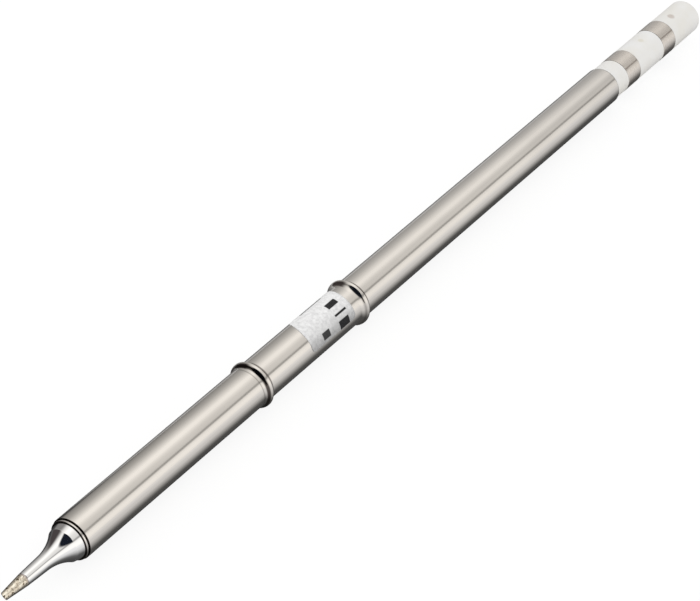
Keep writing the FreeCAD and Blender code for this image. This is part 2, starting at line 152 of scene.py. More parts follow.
# %% Number helpers
def math_node(tree, operation, *values):
    """A Math node on values that are numbers or outputs."""
    node = add_node(tree, "ShaderNodeMath", operation=operation)
    for number, value in enumerate(values):
        feed(tree, node.inputs[number], value)
    return node.outputs[0]


def remap(tree, value, low, high, new_low, new_high, kind="LINEAR"):
    """Stretch the range low to high onto the range new_low to new_high, and hold it beyond both ends."""
    node = add_node(tree, "ShaderNodeMapRange", {"From Min": low, "From Max": high, "To Min": new_low,
                                                 "To Max": new_high}, interpolation_type=kind)
    join(tree, value, node.inputs["Value"])
    return node.outputs["Result"]


def inside(tree, value, low, high, soft, strength=1.0):
    """The strength between low and high, 0 outside, with soft edges."""
    rise = remap(tree, value, low - soft, low + soft, 0.0, strength, "SMOOTHSTEP")
    fall = remap(tree, value, high - soft, high + soft, 1.0, 0.0, "SMOOTHSTEP")
    return math_node(tree, "MULTIPLY", rise, fall)


print("number helpers ready")

# %% [markdown]
# The next helpers mix colours and shaders. A grey ramp is written as a row of (value, level) stops, so
# that a light or a shade can be given in its own units, such as degrees or millimetres.

# %% Colour helpers
def blend_colours(tree, factor, first, second, kind="MIX"):
    node = add_node(tree, "ShaderNodeMix", data_type="RGBA", blend_type=kind)
    for name, value in (("Factor", factor), ("A", first), ("B", second)):
        feed(tree, node.inputs[name], value)
    return node.outputs["Result"]


def mix_shaders(tree, factor, first, second):
    node = add_node(tree, "ShaderNodeMixShader")
    feed(tree, node.inputs["Fac"], factor)
    join(tree, first, node.inputs[1])
    join(tree, second, node.inputs[2])
    return node.outputs[0]


def level_ramp(tree, value, low, high, stops):
    """A grey ramp over a value from low to high, given as (value, level) stops."""
    ramp = add_node(tree, "ShaderNodeValToRGB")
    join(tree, remap(tree, value, low, high, 0.0, 1.0), ramp.inputs[0])
    elements = ramp.color_ramp.elements
    elements.remove(elements[1])
    for number, (place, level) in enumerate(stops):
        share = (place - low) / (high - low)
        element = elements.new(share) if number else elements[0]
        element.position = share
        element.color = (level, level, level, 1.0)
    return ramp.outputs["Color"]


print("colour helpers ready")

# %% [markdown]
# Patterns follow the rod by two measures of a place: its station, and its roll, the angle about the rod.
# They are read from the piece's own coordinates, which are the frame's, so a pattern stays where it
# belongs. Grain and wear are noise on the same coordinates, stretched where tools ran along or round the
# rod.

# %% Place and grain helpers
def own_place(tree):
    return add_node(tree, "ShaderNodeTexCoord").outputs["Object"]


def split_axes(tree, vector):
    """The x, y and z of a place or a direction."""
    parts = add_node(tree, "ShaderNodeSeparateXYZ")
    join(tree, vector, parts.inputs[0])
    return parts.outputs["X"], parts.outputs["Y"], parts.outputs["Z"]


def station_node(tree, place):
    """Station of a place: its x in millimetres, plus the rod's length."""
    return math_node(tree, "MULTIPLY_ADD", split_axes(tree, place)[0], 1 / MM, LENGTH)


def roll_node(tree, vector):
    """Angle about the rod in degrees, 0 at the top and growing towards -Y."""
    y, z = split_axes(tree, vector)[1:]
    turn = math_node(tree, "ARCTAN2", math_node(tree, "MULTIPLY", y, -1.0), z)
    return math_node(tree, "DEGREES", turn)


def noise(tree, place, scale, detail=3.0, roughness=0.5, stretch=(1, 1, 1)):
    mapping = add_node(tree, "ShaderNodeMapping", {"Scale": stretch})
    join(tree, place, mapping.inputs["Vector"])
    grain = {"Scale": scale, "Detail": detail, "Roughness": roughness}
    texture = add_node(tree, "ShaderNodeTexNoise", grain)
    join(tree, mapping.outputs[0], texture.inputs["Vector"])
    return texture.outputs["Fac"]


def bump(tree, height, strength, depth):
    node = add_node(tree, "ShaderNodeBump", {"Strength": strength, "Distance": depth})
    join(tree, height, node.inputs["Height"])
    return node.outputs["Normal"]


def new_material(name, **sockets):
    """Start a material. Its constant values are set on the shader's own sockets."""
    made = bpy.data.materials.new(name)
    made.use_nodes = True
    shader = made.node_tree.nodes["Principled BSDF"]
    for socket, value in sockets.items():
        shader.inputs[socket.replace("_", " ")].default_value = value
    return made, made.node_tree, shader


print("place and grain helpers ready")

# %% [markdown]
# ## Studio light
# Polished metal shows the room. The room here is a sky round the rod: one long softbox overhead and a
# little behind, a second in front, and a narrow dark gap between them, which draws the thin dark line
# along every tube. Low down behind the rod the light fades. A direction's angle about the rod decides
# which of the lights it meets. Sky and floor aren't sampled as lamps: light comes only along rays that
# reach them.

# %% Lights round the rod
SKY_STOPS = [
    (-180, 0.10), (-115, 0.15), (-90, 0.26), (-68, 0.40), (-51, 0.52), (-36, 0.72), (-22, 0.95), (-9, 1.2),
    (3, 1.2), (15, 1.0), (26, 0.87), (38, 0.82), (46, 0.77), (50.5, 0.42), (56, 0.4), (61, 1.02), (68, 1.12),
    (76, 1.18), (86, 1.13), (98, 0.99), (125, 0.55), (180, 0.1),
]
WARM_LIGHT = (1.0, 0.985, 0.955)

world = bpy.data.worlds.new("studio")
bpy.context.scene.world = world
world.use_nodes = True
world.cycles.sampling_method = "NONE"
sky = world.node_tree
sky.nodes.clear()
direction = add_node(sky, "ShaderNodeTexCoord").outputs["Generated"]
rearward = split_axes(sky, direction)[0]
angle = roll_node(sky, direction)
softboxes = blend_colours(sky, 1.0, level_ramp(sky, angle, -180, 180, SKY_STOPS), WARM_LIGHT, "MULTIPLY")
print("sky of", len(SKY_STOPS), "stops")

# %% [markdown]
# The room also changes along the rod. How far a direction points towards the rear, from -1 to 1, tells
# where along the room it ends. Behind the rod on the bit's side the room is dark. Far off towards the
# rear the softboxes are seen at a flat angle and look more even, save for the dark gap. The two end walls
# are nearly black: they darken surfaces that face along the rod.

# %% Ends of the room
DARK_CORNER = (0.07, 0.06, 0.06)
EVEN_STOPS = [(-60, 1.0), (-30, 0.9), (-12, 0.5), (30, 0.5)]
EVEN_SHARE, BELOW_GAP_SHARE = 0.36, 0.7
WALL_COLOUR, WALL_STRENGTH = (0.02, 0.018, 0.018), 0.96

behind = remap(sky, angle, -50.0, -24.0, 1.0, 0.0, "SMOOTHSTEP")
past_bit = remap(sky, rearward, 0.08, 0.5, 1.0, 0.0, "SMOOTHSTEP")
room = blend_colours(sky, math_node(sky, "MULTIPLY", behind, past_bit), softboxes, DARK_CORNER)
above_gap = remap(sky, angle, 30.0, 44.0, 1.0, 0.0)
below_gap = remap(sky, angle, 58.0, 66.0, 0.0, BELOW_GAP_SHARE)
far_off = math_node(sky, "MULTIPLY", remap(sky, rearward, 0.6, 0.8, 0.0, EVEN_SHARE),
                    math_node(sky, "MAXIMUM", above_gap, below_gap))
room = blend_colours(sky, far_off, room, level_ramp(sky, angle, -180, 180, EVEN_STOPS))
front_wall = remap(sky, rearward, -0.68, -0.5, WALL_STRENGTH, 0.0, "SMOOTHSTEP")
far_wall = remap(sky, rearward, 0.8, 0.89, 0.0, WALL_STRENGTH, "SMOOTHSTEP")
room = blend_colours(sky, math_node(sky, "MAXIMUM", front_wall, far_wall), room, WALL_COLOUR)
print("room of", len(sky.nodes), "nodes so far")

# %% [markdown]
# A dark bluish zone stands about where the rod is seen from, and shows as the dark patch on the bit's
# shoulder and on the beads. Only glossy rays see this room. To the camera the sky is plain white, and
# white pieces are lit by an even sky, so that their colours render as written.

# %% Dark zone and camera sky
DARK_LEAN, DARK_ROLL = math.radians(-41.0), math.radians(19.0)
DARK_RIM, DARK_HEART = math.cos(math.radians(37)), math.cos(math.radians(28))
DARK_ZONE_COLOUR = (0.01, 0.013, 0.021)
EVEN_SKY = (1.0, 0.995, 0.98)
WHITE = (1.0, 1.0, 1.0)

towards = add_node(sky, "ShaderNodeVectorMath", operation="DOT_PRODUCT")
join(sky, direction, towards.inputs[0])
towards.inputs[1].default_value = (math.sin(DARK_LEAN), -math.cos(DARK_LEAN) * math.sin(DARK_ROLL),
                                   math.cos(DARK_LEAN) * math.cos(DARK_ROLL))
dark_zone = remap(sky, towards.outputs["Value"], DARK_RIM, DARK_HEART, 0, 1, "SMOOTHSTEP")
seen_in_metal = blend_colours(sky, dark_zone, room, DARK_ZONE_COLOUR)
light_path = add_node(sky, "ShaderNodeLightPath")
lit = blend_colours(sky, light_path.outputs["Is Glossy Ray"], EVEN_SKY, seen_in_metal)
glow = add_node(sky, "ShaderNodeBackground")
join(sky, blend_colours(sky, light_path.outputs["Is Camera Ray"], lit, WHITE), glow.inputs["Color"])
sky_out = add_node(sky, "ShaderNodeOutputWorld")
join(sky, glow.outputs[0], sky_out.inputs["Surface"])
print("room of", len(sky.nodes), "nodes")

# %% [markdown]
# ## Floor
# The floor is a plain pale sheet just under the beads. In the metal it is seen with a painted shadow: its
# glow there is dark close under the rod and pale further out, like a contact shadow, which gives the tubes
# their dark lower edge. Behind the rod it stays dim.

# %% Floor sheet
FLOOR_HEIGHT = cad_box[0][2] - 0.02 * MM
FLOOR_HALF = 3.0

corners = np.array([(-1, -1), (1, -1), (1, 1), (-1, 1)]) * FLOOR_HALF
floor_mesh = bpy.data.meshes.new("floor")
floor_mesh.from_pydata(np.column_stack([corners, np.full(4, FLOOR_HEIGHT)]).tolist(), [], [(0, 1, 2, 3)])
floor = bpy.data.objects.new("floor", floor_mesh)
bpy.context.scene.collection.objects.link(floor)

floor_material = bpy.data.materials.new("pale_floor")
floor_material.use_nodes = True
floor_material.cycles.emission_sampling = "NONE"
floor.data.materials.append(floor_material)
print("floor at", round(FLOOR_HEIGHT / MM, 2), "mm")

# %% [markdown]
# The floor's painted level in the metal depends on the distance in front of the rod. Under the slim bit
# the painted shadow is narrower. Behind the rod that narrower shadow slants away towards the rear, into
# the part that the bit's far side mirrors.

# %% Floor in the metal
# Painted shadow: levels over the distance in front of the rod, in millimetres
FLOOR_SHADOW_STOPS = [
    (-50, 0.64), (-32, 0.48), (-18, 0.31), (-8, 0.13), (-4, 0.06), (0, 0.04), (4.2, 0.1), (7.0, 0.48),
    (11, 0.76), (30, 0.91), (50, 0.95),
]
BIT_SHADOW_STOPS = [
    (-50, 0.12), (-20, 0.05), (-3, 0.05), (0, 0.05), (2.4, 0.08), (4.4, 0.3), (8, 0.62), (14, 0.85),
    (50, 0.95),
]
BIT_FLOOR_END, TUBE_FLOOR_START = 7.0, 11.0

tree = floor_material.node_tree
tree.nodes.clear()
place = own_place(tree)
in_front = math_node(tree, "MULTIPLY", split_axes(tree, place)[1], -1 / MM)
behind_rod = math_node(tree, "MINIMUM", in_front, 0.0)
slanted = math_node(tree, "ADD", station_node(tree, place), behind_rod)
at_bit = remap(tree, slanted, BIT_FLOOR_END, TUBE_FLOOR_START, 1.0, 0.0, "SMOOTHSTEP")
# Painted shadow: the floor's glow in the metal is darkened near the rod.
under_tubes = level_ramp(tree, in_front, -50, 50, FLOOR_SHADOW_STOPS)
under_bit = level_ramp(tree, in_front, -50, 50, BIT_SHADOW_STOPS)
in_metal = add_node(tree, "ShaderNodeEmission")
join(tree, blend_colours(tree, at_bit, under_tubes, under_bit), in_metal.inputs["Color"])
print("floor levels:", len(FLOOR_SHADOW_STOPS), "under the tubes,", len(BIT_SHADOW_STOPS), "under the bit")

# %% [markdown]
# To the camera the floor is almost white and keeps a soft shadow. So it is mostly a white glow, mixed
# with a little of a pale sheet on which the shadow falls. White pieces get the light of the pale sheet
# alone.

# %% Floor to the camera
PALE_SHEET = (0.88, 0.88, 0.88, 1.0)
WHITE_GLOW = {"Color": (1.0, 1.0, 1.0, 1.0), "Strength": 1.04}
GLOW_SHARE = 0.85

sheet = add_node(tree, "ShaderNodeBsdfDiffuse", {"Color": PALE_SHEET}).outputs[0]
white = add_node(tree, "ShaderNodeEmission", WHITE_GLOW).outputs[0]
path = add_node(tree, "ShaderNodeLightPath")
to_camera = mix_shaders(tree, GLOW_SHARE, sheet, white)
not_in_metal = mix_shaders(tree, path.outputs["Is Camera Ray"], sheet, to_camera)
floor_seen = mix_shaders(tree, path.outputs["Is Glossy Ray"], not_in_metal, in_metal.outputs[0])
floor_out = add_node(tree, "ShaderNodeOutputMaterial")
join(tree, floor_seen, floor_out.inputs["Surface"])
print("floor material of", len(tree.nodes), "nodes")

# %% [markdown]
# ## Turned surfaces
# Nearly every piece was turned or drawn round the rod's axis. So each starts as a profile, a row of
# (station, radius) points. Real corners are never quite sharp: each corner of a profile is rounded by its
# own radius, and extra rows stand beside every round, so that the smooth shading of the long straight
# walls stays true.

# %% Profile helpers
def corner_arc(before, here, after, size, steps):
    """Arc of the given radius that touches both sides of a corner. Its centre lies on the corner's bisector,
    at the radius over the sine of half the angle, and its points turn evenly from one side to the other."""
    a = (before - here) / np.linalg.norm(before - here)
    b = (after - here) / np.linalg.norm(after - here)
    half = math.acos(np.clip(a @ b, -1, 1)) / 2
    reach = size / math.tan(half)
    centre = here + (a + b) / np.linalg.norm(a + b) * size / math.sin(half)
    start, end = here + a * reach - centre, here + b * reach - centre
    turn = math.pi - 2 * half
    s = np.linspace(0, 1, steps)[:, None]
    return centre + (np.sin((1 - s) * turn) * start + np.sin(s * turn) * end) / math.sin(turn)


def rows_between(start, end, spread=0.06, pitch=2.5):
    """Points on a straight run: one close to each end, the rest evenly spaced. A short run gets none."""
    length = np.linalg.norm(end - start)
    if length < 3 * spread:
        return np.empty((0, 2))
    count = max(2, int(length / pitch) + 2)
    share = np.linspace(spread / length, 1 - spread / length, count)[:, None]
    return start + (end - start) * share


def rounded_profile(corners, steps=6, closed=True):
    """Row of points through corners (station, radius, rounding). A rounding of 0 leaves a corner sharp."""
    places = np.array([corner[:2] for corner in corners], dtype=float)
    pieces = []
    for number, corner in enumerate(corners):
        here = places[number]
        if corner[2] == 0:
            pieces.append(here[None, :])
        else:
            after = places[(number + 1) % len(places)]
            pieces.append(corner_arc(places[number - 1], here, after, corner[2], steps))
    rows = []
    for number, piece in enumerate(pieces):
        rows.append(piece)
        if closed or number + 1 < len(pieces):
            rows.append(rows_between(piece[-1], pieces[(number + 1) % len(pieces)][0]))
    return np.concatenate(rows)


print("a square corner of radius 1:",
      corner_arc(*np.array([(0.0, 0), (4, 0), (4, 4)]), 1, 3).round(2).tolist())

# %% [markdown]
# The flare of a bead is an S-curve, the shape that a rolled wall takes: a hollow arc where it leaves the
# tube, and a round one up to the crest, with no kink between them.

# %% S-curve helper
def s_curve(start, run, rise, hollow, count=22):
    """Two arcs that turn by the same angle, first hollow, then round. Their radii add up to
    (run^2 + rise^2) / (2 rise), and the hollow arc takes the given share of that, of the run and of the
    rise."""
    arcs = (run ** 2 + rise ** 2) / (2 * rise)
    x = np.linspace(0, run, count)
    bend = run * hollow
    first = arcs * hollow
    second = arcs * (1 - hollow)
    low = first - np.sqrt(first ** 2 - np.minimum(x, bend) ** 2)
    high = rise - second + np.sqrt(second ** 2 - (run - np.maximum(x, bend)) ** 2)
    return np.stack([start[0] + x, start[1] + np.where(x <= bend, low, high)], axis=1)


print("an S-curve's ends:", s_curve((0, 0), 1.0, 0.4, 0.6)[[0, -1]].round(3).tolist())

# %% [markdown]
# A lathe turns the profile into a surface: each point is carried round the rod, which gives a grid of
# rows along the profile and columns round it. The grid becomes a mesh of four-sided faces, whose doubled
# points at the axis are merged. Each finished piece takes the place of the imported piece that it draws.

# %% Lathe helpers
def angles_round(count=128, fine_at=None, fine_span=0.17, fine_count=30):
    """Even angles round the rod, with an optional finer stretch about one angle, for a small mark there."""
    even = np.linspace(-math.pi, math.pi, count, endpoint=False)
    if fine_at is None:
        return even
    fine = np.linspace(fine_at - fine_span, fine_at + fine_span, fine_count)
    return np.sort(np.concatenate([even[np.abs(even - fine_at) > fine_span * 1.05], fine]))


def spin(profile, angles):
    """Carry (station, radius) points round the rod. At angle a a point lies towards (0, -sin a, cos a)."""
    station, radius = profile[:, 0][:, None], profile[:, 1][:, None]
    x = np.broadcast_to(station - LENGTH, (len(profile), len(angles)))
    return np.stack([x, -radius * np.sin(angles), radius * np.cos(angles)], axis=-1)


def surface_object(name, grid, material, node, closed_rows=True, closed_columns=True):
    """Make a mesh of a grid of points in millimetres. Rows or columns that close join their last to their
    first."""
    rows, columns = grid.shape[:2]
    index = np.arange(rows * columns).reshape(rows, columns)
    if closed_rows:
        index = np.vstack([index, index[:1]])
    if closed_columns:
        index = np.hstack([index, index[:, :1]])
    faces = np.stack([index[:-1, :-1], index[:-1, 1:], index[1:, 1:], index[1:, :-1]], axis=-1)
    mesh = bpy.data.meshes.new(name)
    mesh.from_pydata((grid.reshape(-1, 3) * MM).tolist(), [], faces.reshape(-1, 4).tolist())
    work = bmesh.new()
    work.from_mesh(mesh)
    bmesh.ops.remove_doubles(work, verts=work.verts, dist=1e-8)
    bmesh.ops.recalc_face_normals(work, faces=work.faces)
    work.to_mesh(mesh)
    work.free()
    mesh.shade_smooth()
    mesh.materials.append(material)
    piece = bpy.data.objects.new(name, mesh)
    bpy.context.scene.collection.objects.link(piece)
    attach(piece, "root")
    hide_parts(node)
    print(name, len(mesh.polygons), "faces")
    return piece


# %% [markdown]
# ## Stainless steel
# The tubes are drawn stainless steel, lightly polished along their length. Such a surface is a mirror
# that is a little blurred, with very fine lines along the rod. One stretched noise makes those lines, and
# drives both the roughness and a shallow bump. A slow second noise varies the tone a little, as handling
# and cleaning do. Thin dark bands are painted into the colour as painted shade and painted reflections:
# on the sleeve's front face, in the groove behind its lip, in the hollow of each bead, and behind each
# rim. A faint dark line is also painted ahead of the front bead. Towards the rear the colour is painted
# greyer, as painted shade for the dimmer reflections there.

# %% Stainless material
STEEL = (0.735, 0.7, 0.66)
WORN_STEEL = tuple(0.965 * level for level in STEEL)
PAINTED_SHADE_BROWN = (0.06, 0.045, 0.04)
REAR_SHADE_GREY = (0.3, 0.3, 0.31)
REAR_SHADE_FROM, REAR_SHADE_TO, REAR_SHADE_SHARE = 90.0, 131.0, 0.14
# Painted dark bands of shade and reflection as station from, station to, how strong, and how soft at their
# edges
PAINTED_DARK_BANDS = [
    (SLEEVE_START - 0.5, SLEEVE_START + 0.03, 0.96, 0.02),
    (SLEEVE_START + 0.27, SLEEVE_START + 0.47, 0.95, 0.02),
    (SLEEVE_END - 1.41, SLEEVE_END - 1.25, 0.42, 0.07),
    (SLEEVE_END - 0.86, SLEEVE_END - 0.5, 0.93, 0.1),
    (SLEEVE_END, SLEEVE_END + 0.5, 0.72, 0.06),
    (MIDDLE_END - 0.74, MIDDLE_END - 0.49, 0.35, 0.12),
    (MIDDLE_END, MIDDLE_END + 0.5, 0.78, 0.06),
]


def make_stainless(name):
    made, tree, shader = new_material(name, Metallic=1.0)
    place = own_place(tree)
    lines = noise(tree, place, scale=1.0, detail=4.0, roughness=0.6, stretch=(60, 5200, 5200))
    cloud = noise(tree, place, scale=180.0, detail=2.0)
    steel_tone_and_shade = blend_colours(tree, remap(tree, cloud, 0.3, 0.7, 0.0, 1.0), WORN_STEEL, STEEL)
    station = station_node(tree, place)
    # Painted shade and painted reflections: dark bands painted into the steel's colour at fixed stations.
    for start, end, strength, soft in PAINTED_DARK_BANDS:
        steel_tone_and_shade = blend_colours(tree, inside(tree, station, start, end, soft, strength), steel_tone_and_shade, PAINTED_SHADE_BROWN)
    # Painted shade: the steel's colour is greyed towards the rear end, as its reflections are dimmer there.
    painted_rear_shade = remap(tree, station, REAR_SHADE_FROM, REAR_SHADE_TO, 0.0, REAR_SHADE_SHARE, "SMOOTHSTEP")
    join(tree, blend_colours(tree, painted_rear_shade, steel_tone_and_shade, REAR_SHADE_GREY), shader.inputs["Base Color"])
    join(tree, remap(tree, lines, 0.2, 0.8, 0.1, 0.16), shader.inputs["Roughness"])
    join(tree, bump(tree, lines, strength=0.1, depth=4e-6), shader.inputs["Normal"])
    return made


stainless = make_stainless("drawn_stainless")
print(stainless.name, len(stainless.node_tree.nodes), "nodes")

# %% [markdown]
# ## Plated bit
# The bit is copper, turned to a long cone and a flared shoulder, iron plated and then bright chromed.
# Only the last few millimetres are left free of chrome and carry solder. Solder freezes with small lumps
# and grain, and keeps brown specks of burnt flux. One material covers both, because they are one surface:
# a boundary that wavers a little divides smooth chrome from grey tin.

# %% Bit material
TINNED_END = 3.74
CHROME, CHROME_ROUGHNESS = (0.88, 0.875, 0.87), 0.06
DULL_TIN, BRIGHT_TIN, TIN_LUMP = (0.48, 0.41, 0.32), (0.95, 0.87, 0.73), (1.0, 0.95, 0.82)
FLUX, TIN_EDGE, END_EDGE_SHADE = (0.085, 0.055, 0.025), (0.30, 0.25, 0.31), (0.05, 0.035, 0.03)


def tin_colour(tree, place, grain, blotch):
    """Tin that varies with its grain, has brighter lumps, and is speckled with flux."""
    tin = blend_colours(tree, remap(tree, grain, 0.35, 0.65, 0.0, 1.0), DULL_TIN, BRIGHT_TIN)
    lumps = blend_colours(tree, remap(tree, blotch, 0.5, 0.62, 0.0, 0.75), tin, TIN_LUMP)
    specks = noise(tree, place, scale=4400.0, detail=2.0, stretch=(0.7, 1, 1))
    return blend_colours(tree, remap(tree, specks, 0.56, 0.64, 0.0, 0.92), lumps, FLUX)


def make_plated(name):
    made, tree, shader = new_material(name, Metallic=1.0)
    place = own_place(tree)
    station = station_node(tree, place)
    waver = remap(tree, noise(tree, place, scale=900.0, detail=2.0), 0.3, 0.7, -0.09, 0.09)
    edge = math_node(tree, "ADD", station, waver)
    chrome_here = remap(tree, edge, TINNED_END - 0.03, TINNED_END + 0.03, 0.0, 1.0)
    from_edge = math_node(tree, "ABSOLUTE", math_node(tree, "SUBTRACT", edge, TINNED_END))
    grain = noise(tree, place, scale=4200.0, detail=4.0, roughness=0.65)
    blotch = noise(tree, place, scale=1500.0, roughness=0.6)
    tin = tin_colour(tree, place, grain, blotch)
    rimmed = blend_colours(tree, remap(tree, from_edge, 0.0, 0.25, 0.75, 0.0), tin, TIN_EDGE)
    # Painted shade: the last 0.2 mm of the bit's end is darkened to draw the dark outline of its rounded
    # edge.
    at_end = remap(tree, station, 0.07, 0.2, 0.93, 0.0, "SMOOTHSTEP")
    end_shaded = blend_colours(tree, at_end, rimmed, END_EDGE_SHADE)
    join(tree, blend_colours(tree, chrome_here, end_shaded, CHROME), shader.inputs["Base Color"])
    rough = add_node(tree, "ShaderNodeMix", data_type="FLOAT")
    join(tree, chrome_here, rough.inputs["Factor"])
    join(tree, remap(tree, grain, 0.3, 0.7, 0.2, 0.34), rough.inputs["A"])
    rough.inputs["B"].default_value = CHROME_ROUGHNESS
    join(tree, rough.outputs["Result"], shader.inputs["Roughness"])
    height = math_node(tree, "MULTIPLY", math_node(tree, "SUBTRACT", 1.0, chrome_here), blotch)
    join(tree, bump(tree, height, strength=0.8, depth=5e-5), shader.inputs["Normal"])
    return made


plated = make_plated("chrome_and_tin")
print(plated.name, len(plated.node_tree.nodes), "nodes")

# %% [markdown]
# The shape is a turned profile with a slanting cut across its end. A tinned cone runs into a gentler one,
# the neck, and an arc carries the neck out to the shoulder. Behind the shoulder the bit widens a little
# more, up to the sleeve's front, where bit and sleeve nearly meet in a thin dark line. From there a hollow
# shank runs on inside the sleeve, with the bore that holds the heater.

# %% Bit profile
BIT_END, TIN_RADIUS = 0.46, 0.826
NECK, NECK_RADIUS = 7.0, 0.975
NECK_SLOPE = (NECK_RADIUS - TIN_RADIUS) / (NECK - TINNED_END)
FLARE_END, SHOULDER = 10.6, 2.19
SHOULDER_END, SHOULDER_WIDE = SLEEVE_START - 0.03, 2.4
WALL, FIT = 0.375, 0.02
BORE = TUBE - WALL
SHANK = BORE - FIT
HEATER_BORE, HEATER_BORE_DEPTH = 1.62, 14.8
BORE_STATION = SHANK_END - HEATER_BORE_DEPTH
DRILL_POINT = 0.45
END_ROUND = 0.2


def flare_arc(count=30):
    """Circle that leaves the neck's slope at a tangent and ends at the shoulder's edge. With slope m, run a
    and rise b, its radius is (a^2 + b^2) sqrt(1 + m^2) / (2 (b - m a))."""
    run, rise = FLARE_END - NECK, SHOULDER - NECK_RADIUS
    radius = (run ** 2 + rise ** 2) * math.hypot(1, NECK_SLOPE) / (2 * (rise - NECK_SLOPE * run))
    tilt = math.atan(NECK_SLOPE)
    centre = np.array([NECK - radius * math.sin(tilt), NECK_RADIUS + radius * math.cos(tilt)])
    first = math.atan2(NECK_RADIUS - centre[1], NECK - centre[0])
    last = math.atan2(SHOULDER - centre[1], FLARE_END - centre[0])
    t = np.linspace(first, last, count)
    return centre + radius * np.stack([np.cos(t), np.sin(t)], axis=1)


end_face = np.stack([np.zeros(12), np.linspace(0, BIT_END - END_ROUND, 12)], axis=1)
quarter = np.linspace(0, math.pi / 2, 9)[1:]
end_edge = np.stack([END_ROUND * (1 - np.cos(quarter)), BIT_END + END_ROUND * (np.sin(quarter) - 1)], axis=1)
tin_run = np.linspace(END_ROUND + 0.05, TINNED_END, 64)
tin_cone = np.stack([tin_run, BIT_END + (TIN_RADIUS - BIT_END) * tin_run / TINNED_END], axis=1)
neck_run = np.linspace(TINNED_END + 0.06, NECK - 0.1, 12)
neck_cone = np.stack([neck_run, TIN_RADIUS + NECK_SLOPE * (neck_run - TINNED_END)], axis=1)
shank = rounded_profile([
    (FLARE_END + 0.03, SHOULDER, 0), (SHOULDER_END, SHOULDER_WIDE, 0.03), (SHOULDER_END, SHANK, 0),
    (SHANK_END, SHANK, 0.15), (SHANK_END, HEATER_BORE, 0.05), (BORE_STATION, HEATER_BORE, 0.05),
    (BORE_STATION - DRILL_POINT, 0.0, 0),
], closed=False)
bit_profile = np.vstack([end_face, end_edge, tin_cone, neck_cone, flare_arc(), shank])
print("bit profile of", len(bit_profile), "points")

# %% [markdown]
# The cut is a plane: wherever a point of the turned end lies in front of the plane, it is moved back
# along the rod until it lies on it. A soft maximum in place of a hard one leaves the cut's edge slightly
# rounded, as a worn plated edge is.

# %% Bit
BEVEL_ROLL = math.radians(218.0)
BEVEL_SOFT = 0.08


def bevel_across(grid):
    """Move points that lie in front of the slanting plane onto it. With h the height along the cut's own up
    direction, the plane is at station h + BIT_END. The soft maximum of p and q is
    (p + q + sqrt((p - q)^2 + w^2)) / 2, with w the softness."""
    height = -grid[..., 1] * math.sin(BEVEL_ROLL) + grid[..., 2] * math.cos(BEVEL_ROLL)
    station = grid[..., 0] + LENGTH
    plane = height + BIT_END
    cut = (station + plane + np.sqrt((station - plane) ** 2 + BEVEL_SOFT ** 2)) / 2
    moved = grid.copy()
    moved[..., 0] = np.where(station < TINNED_END, cut, station) - LENGTH
    return moved


surface_object("bit", bevel_across(spin(bit_profile, angles_round(count=144))), plated,
               "soldering_bit", closed_rows=False)

# %% [markdown]
# ## Tubes and beads
# Each tube's rear end is belled out, slips over the next tube, and is rolled down to a thin rim. From
# outside that is a flare, a crest and a fine line where the rim meets the next tube. The front bead rises
# steeply, the rear one more gently and then fast near its crest. The tubes are real walls with their
# bores, so that an open end shows its thickness, and each tube's necked spigot stands in the tube before
# it.

# %% Beads and spigots
BELL_BORE = TUBE + FIT
SPIGOT, SPIGOT_WALL = 4.0, 0.3
SPIGOT_BORE = SHANK - SPIGOT_WALL
CREST, RIM_ROUND = 0.08, 0.15
PAST_RIM = 0.05
# Each bead's flare as its run along the rod, and the share of it that is hollow
BEADS = {"front_sleeve": (0.84, 0.5), "middle_tube": (1.05, 0.66)}


def bell_start(node):
    """Where the flare of a tube's bead begins."""
    return stations(node)[1] - RIM_ROUND - CREST - BEADS[node][0]


def bell_rows(node):
    """Outer flare, crest, round rim, and back inside to the tube's bore."""
    run, hollow = BEADS[node]
    start, crest, end = bell_start(node), radius_of(node), stations(node)[1]
    flare = s_curve((start, TUBE), run, crest - TUBE, hollow)
    rim = rounded_profile([(end - RIM_ROUND - CREST, crest, 0), (end, crest, RIM_ROUND),
                           (end, BELL_BORE, 0.02), (start + run, BELL_BORE, 0), (start, BORE, 0)],
                          9, closed=False)
    return np.vstack([flare[:-1], rim])


def spigot_rows(node_before):
    """From the tube's bore forward through its neck, round the spigot's front, and back to its outside."""
    neck = bell_start(node_before)
    front = neck - SPIGOT
    end = stations(node_before)[1] + PAST_RIM
    return rounded_profile([(end, BORE, 0), (neck, SPIGOT_BORE, 0), (front, SPIGOT_BORE, 0.03),
                            (front, SHANK, 0.05), (neck, SHANK, 0), (end, TUBE, 0)], closed=False)


print("beads start at", [round(bell_start(node), 2) for node in BEADS])

# %% [markdown]
# The front tube starts with a narrow lip and a groove behind it, both lower than the tube, and the rear
# tube ends in a rounded edge. Each tube is its front rows, its plain outer wall and its rear rows, in one
# ring.

# %% Tubes
LIP_END, LIP = SLEEVE_START + 0.26, TUBE - 0.12
GROOVE_END, GROOVE = LIP_END + 0.18, TUBE - 0.26
REAR_ROUND = 0.2

lip_rows = rounded_profile([
    (SLEEVE_START + 1, BORE, 0), (SLEEVE_START, BORE, 0.03), (SLEEVE_START, LIP, 0.08), (LIP_END, LIP, 0.03),
    (LIP_END, GROOVE, 0.02), (GROOVE_END, GROOVE, 0.02), (GROOVE_END, TUBE, 0.03),
    (GROOVE_END + 0.1, TUBE, 0),
], closed=False)[:-1]
rear_rows = rounded_profile([(REAR_END, TUBE, REAR_ROUND), (REAR_END, BORE, 0.05),
                             (MIDDLE_END + PAST_RIM, BORE, 0)], 9, closed=False)
